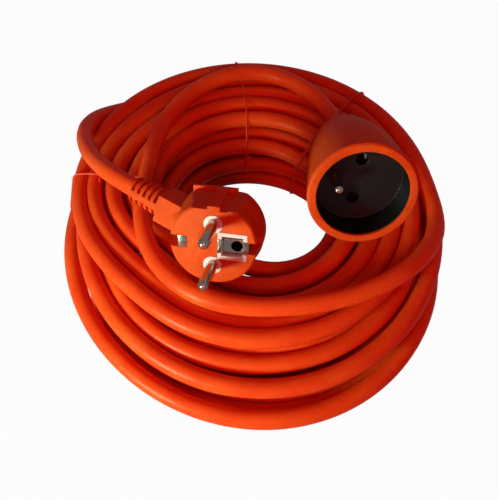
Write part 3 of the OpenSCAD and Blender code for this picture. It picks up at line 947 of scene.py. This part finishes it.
@dataclass
class Plug(Placed):
    """The angled plug: face centre at its origin, pins along +Z, cord leaving towards -X."""

    origin: Vector = field(default_factory=lambda: Vector((-16.6, -45.6, 63.44)) * MM)
    turns: tuple[float, float, float] = (63, -2.2, -9.7)
    depth: float = 21
    exit_turn: float = math.radians(15)
    exit_back: float = math.radians(17)
    jacket_end: float = 14
    relief_end: float = 43.6
    covers: tuple[Cover, ...] = (
        Cover("plug_body", "plug_moulding", 0.45 * MM, Slot.MOULDED),
        Cover("plug_strain_relief", "plug_relief", 0.22 * MM, Slot.MOULDED),
        Cover("plug_pin_carrier", "plug_carrier", 0.25 * MM, Slot.WHITE),
        Cover("plug_earth_plate", "plug_plate", 0.1 * MM, Slot.NICKEL),
        Cover("plug_side_contact_left", "plug_strip_left", 0.12 * MM, Slot.NICKEL),
    )

    def along(self, distance: float) -> Vector:
        """Gives a point on the cord's way out of the plug.

        Args:
            distance: How far along, in millimetres.

        Returns:
            The point, in millimetres of this frame.
        """
        out = Vector((-math.cos(self.exit_back) * math.cos(self.exit_turn),
                      math.cos(self.exit_back) * math.sin(self.exit_turn),
                      -math.sin(self.exit_back)))
        return Vector((0, 0, -self.depth / 2)) + distance * out

    def build(self, finishes: Finishes) -> list[bpy.types.Object]:
        """Makes and dresses the plug's pieces.

        Args:
            finishes: The materials.

        Returns:
            The new pieces.
        """
        repaint(finishes.nickel, "plug_pin_live", "plug_pin_neutral", "plug_side_contact_right")
        # The earth socket takes the near-black painted shade, so that its hole looks shaded.
        repaint(finishes.earth_hole_shade, "plug_earth_socket")
        repaint(finishes.brown, "plug_core_live")
        repaint(finishes.blue, "plug_core_neutral")
        repaint(finishes.green, "plug_core_earth")
        return [cover.build(finishes) for cover in self.covers]


# ---------------------------------------------------------------- the socket


@dataclass
class Socket(Placed):
    """The coupler socket: rim centre at its origin, mouth towards +Z."""

    origin: Vector = field(default_factory=lambda: Vector((46.2, -27.1, 72.94)) * MM)
    turns: tuple[float, float, float] = (67.6, 7.4, -1.8)
    length: float = 62
    cord_seat: float = -47
    covers: tuple[Cover, ...] = (
        Cover("socket_shell", "socket_moulding", 0.5 * MM, Slot.MOULDED),
        Cover("socket_insert", "socket_recess", 0.3 * MM, Slot.BLACK),
    )

    def build(self, finishes: Finishes) -> list[bpy.types.Object]:
        """Makes and dresses the socket's pieces.

        Args:
            finishes: The materials.

        Returns:
            The new pieces.
        """
        # The shutter is painted black as painted shade, so the contact holes in front of it look
        # dark.
        repaint(finishes.black, "socket_carrier", "socket_shutter")
        repaint(finishes.nickel, "socket_contact_live", "socket_contact_neutral",
                "socket_earth_pin")
        repaint(finishes.brown, "socket_core_live")
        repaint(finishes.blue, "socket_core_neutral")
        repaint(finishes.green, "socket_core_earth")
        return [cover.build(finishes) for cover in self.covers]

    @staticmethod
    def spring(finishes: Finishes) -> bpy.types.Object:
        """Shows the return spring as a smooth-shaded copy with its loose triangles merged.

        Args:
            finishes: The materials.

        Returns:
            The new piece.
        """
        piece = copied("shutter_spring", "shutter_coil")
        bpy.ops.object.shade_smooth_by_angle(angle=WIRE_SMOOTH)
        stand_in(piece, Slot.SPRING, finishes, "shutter_spring")
        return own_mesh(piece)


# ------------------------------------------------------------------ the ties

ENDS_ONLY = (1, 1)


def taut(points: Sequence[Edge]) -> list[Edge]:
    """Draws the taut outline round flat points.

    Args:
        points: The points.

    Returns:
        The outline's corners, going round once.
    """
    def half(run: Iterable[Edge]) -> list[Edge]:
        """Gives one side of the outline.

        Args:
            run: The points in order along it.

        Returns:
            Its corners, without the last.
        """
        side: list[Edge] = []
        for p in run:
            while len(side) > 1 and ((side[-1][0] - side[-2][0]) * (p[1] - side[-2][1])
                                     <= (side[-1][1] - side[-2][1]) * (p[0] - side[-2][0])):
                side.pop()
            side.append(p)
        return side[:-1]

    ordered = sorted(set(points))
    return half(ordered) + half(reversed(ordered))


@dataclass(frozen=True)
class Tie:
    """A thin strip round the pile, with a small knot and two loose ends."""

    node: str
    at: float
    knot_at: float
    lowest: float = 0.0
    tails: tuple[Place, Place] = ((2.5, -1.5, 4.0), (-2.0, -3.0, 2.0))
    thick: float = 0.9 * MM
    roundness: int = 2
    corners: int = 24
    step: float = 3 * MM
    sway: float = 1.1 * MM
    sways: int = 2
    knot: float = 1.1 * MM
    knot_flat: float = 0.7
    knot_points: int = 12
    tail_bow: float = 0.8 * MM
    tail_steps: int = 4

    def axes(self) -> tuple[Vector, Vector]:
        """Gives the ways out from the coil's axis and along its turns, at this tie."""
        across = Vector((math.cos(math.radians(self.at)), math.sin(math.radians(self.at)), 0))
        return across, Vector((-across.y, across.x, 0))

    def section(self, run: CordRun) -> list[Edge]:
        """Cuts the winding at this tie's place.

        Args:
            run: The cord that it holds.

        Returns:
            The strands' radii and heights.
        """
        across, along = self.axes()
        wound = rounded(run.winding(), ENDS_ONLY)
        cuts = []
        for p, q in zip(wound, wound[1:]):
            before, after = p.dot(along), q.dot(along)
            if before * after <= 0 and before != after:
                place = p.lerp(q, before / (before - after))
                if place.dot(across) > 0 and place.z > self.lowest * MM:
                    cuts.append((place.dot(across), place.z))
        return cuts

    def loop(self, run: CordRun) -> list[Vector]:
        """Gives the strip's middle line round the pile, in the object's own frame.

        Args:
            run: The cord that it holds.

        Returns:
            The line's points.
        """
        grown = (run.diameter + self.thick) / 2
        turns = [2 * math.pi * k / self.corners for k in range(self.corners)]
        rim = taut([(r + grown * math.cos(a), max(z + grown * math.sin(a), self.thick / 2))
                    for r, z in self.section(run) for a in turns])
        line = []
        for (r, z), (r_next, z_next) in zip(rim, rim[1:] + rim[:1]):
            parts = max(1, round(math.dist((r, z), (r_next, z_next)) / self.step))
            line += [(r + (r_next - r) * k / parts, z + (z_next - z) * k / parts)
                     for k in range(parts)]
        across, along = self.axes()
        each = 2 * math.pi * self.sways / len(line)
        sway = [self.sway * math.sin(each * i + math.radians(self.at)) for i in range(len(line))]
        return [run.centre + across * r + along * w + Vector((0, 0, z))
                for (r, z), w in zip(line, sway)]

    def build(self, run: CordRun, finishes: Finishes) -> bpy.types.Object:
        """Makes the strip, its knot and its two loose ends.

        Args:
            run: The cord that it holds.
            finishes: The materials.

        Returns:
            The piece.
        """
        loop = self.loop(run)
        middle = loop[round(self.knot_at * len(loop)) % len(loop)]
        turns = [2 * math.pi * k / self.knot_points for k in range(self.knot_points)]
        knot = [middle + Vector((math.cos(a), self.knot_flat * math.sin(2 * a), math.sin(a)))
                * self.knot for a in turns]
        lines = [(loop, True), (knot, True)]
        for tail in self.tails:
            end, bow = Vector(tail) * MM, Vector((0, 0, self.tail_bow))
            lines.append((through([middle, middle + end / 2 + bow, middle + end],
                                  self.tail_steps), False))
        piece = strung(self.node + "_strip", lines, self.thick, self.roundness)
        return stand_in(piece, Slot.TIE, finishes, self.node)


TIES = (
    Tie("tie_left", 177, 0.67, tails=((0.5, -5.0, -0.2), (3.0, -3.5, 0.8))),
    Tie("tie_back", 96, 0.95, lowest=10),
    Tie("tie_right", 47, 0.6),
)


# ---------------------------------------------------------------- the studio


@dataclass(frozen=True)
class Lamp:
    """One soft lamp that looks at the object."""

    name: str
    place: Place
    size: float
    power: float
    colour: Colour

    def build(self, aim: Vector) -> None:
        """Hangs the lamp and points it.

        Args:
            aim: The point that it looks at.
        """
        data = bpy.data.lights.new(self.name, "AREA")
        data.shape, data.size, data.energy, data.color = "DISK", self.size, self.power, self.colour
        lamp = bpy.data.objects.new(self.name, data)
        lamp.location = self.place
        lamp.rotation_euler = (aim - Vector(self.place)).to_track_quat("-Z", "Y").to_euler()
        bpy.context.scene.collection.objects.link(lamp)


@dataclass
class Studio:
    """Floor, lamps, world and camera."""

    aim: Vector = field(default_factory=lambda: Vector((-1.4, -25.6, 30)) * MM)
    distance: float = 0.3
    elevation: float = math.radians(56)
    lens: float = 45.54
    sensor: float = 36
    shift: float = -0.001
    clips: Edge = (0.01, 20)
    lamps: tuple[Lamp, ...] = (
        Lamp("key", (-0.27, -0.30, 0.115), 0.08, 1.55, (0.83, 1.0, 0.88)),
        Lamp("bounce", (0.02, -0.55, 0.42), 0.25, 1.2, (1.0, 0.06, 0.06)),
        Lamp("top", (-0.10, -0.10, 0.9), 0.20, 0.08, (1.0, 0.3, 0.25)),
    )
    floor_size: float = 6
    floor_colour: Colour = (0.35, 0.10, 0.08)
    floor_mirrored: float = 0.18
    floor_white: float = 0.975
    fill: Colour = (1.0, 0.10, 0.09)
    fill_level: float = 0.23

    @staticmethod
    def seen(recipe: Recipe, mirrored: float) -> Wire:
        """Gives 1 where the camera looks, and 0 for light on the object.

        Args:
            recipe: The tree that asks.
            mirrored: What a shiny or clear surface sees.

        Returns:
            The share.
        """
        camera, shiny, clear = (
            recipe.add("ShaderNodeLightPath", output=name)
            for name in ("Is Camera Ray", "Is Glossy Ray", "Is Transmission Ray"))
        return camera + (shiny + clear) * mirrored

    def floor(self) -> None:
        """Lays the floor, white to the camera, with a faint shadow of the object."""
        bpy.ops.mesh.primitive_plane_add(size=self.floor_size, location=(0, 0, 0))
        floor = bpy.context.object
        floor.name = "floor"
        recipe = Recipe(bpy.data.materials.new("floor_white"))
        matt = recipe.add("ShaderNodeBsdfDiffuse", None, {"Color": self.floor_colour})
        lit = recipe.add("ShaderNodeEmission", None, {"Color": WHITE, "Strength": 1.0})
        share = self.seen(recipe, self.floor_mirrored) * self.floor_white
        both = recipe.add("ShaderNodeMixShader", None, {0: share, 1: matt, 2: lit})
        dress(floor, recipe.close(both))

    def world(self) -> None:
        """Makes the surroundings white to the camera and dim as a light."""
        recipe = Recipe(bpy.data.worlds.new("surroundings"))
        colour = recipe.mix(self.seen(recipe, 1.0), self.fill, WHITE)
        hidden = 1 - self.seen(recipe, 0.0)
        strength = 1 - hidden * (1 - self.fill_level)
        light = recipe.add("ShaderNodeBackground", None, {"Color": colour, "Strength": strength})
        bpy.context.scene.world = recipe.close(light)

    def camera(self) -> None:
        """Sets the camera up."""
        data = bpy.data.cameras.new("camera")
        data.sensor_fit, data.sensor_width, data.lens = "HORIZONTAL", self.sensor, self.lens
        data.shift_x, data.clip_start, data.clip_end = self.shift, *self.clips
        camera = bpy.data.objects.new("camera", data)
        back = Vector((0, -math.cos(self.elevation), math.sin(self.elevation)))
        camera.location = self.aim + self.distance * back
        camera.rotation_euler = (math.pi / 2 - self.elevation, 0, 0)
        bpy.context.scene.collection.objects.link(camera)
        bpy.context.scene.camera = camera

    def build(self) -> None:
        """Builds the studio."""
        deselect()
        self.floor()
        self.world()
        self.camera()
        for lamp in self.lamps:
            lamp.build(self.aim)
        bpy.context.scene.view_settings.view_transform = "Standard"


def main() -> None:
    """Builds the studio and the pieces, and reports each piece."""
    logging.basicConfig(level=logging.INFO, format="%(message)s")
    Studio().build()
    finishes = Finishes()
    plug, socket, run = Plug(), Socket(), CordRun()
    pieces = plug.build(finishes)
    ends = socket.build(finishes)
    pieces += [*ends, socket.spring(finishes)]
    cord = run.build(finishes, plug, socket)
    plug.point(plug.along(plug.relief_end))
    pieces += [cord, *(tie.build(run, finishes) for tie in TIES)]
    for piece in pieces:
        report(piece)


if __name__ == "__main__":
    main()
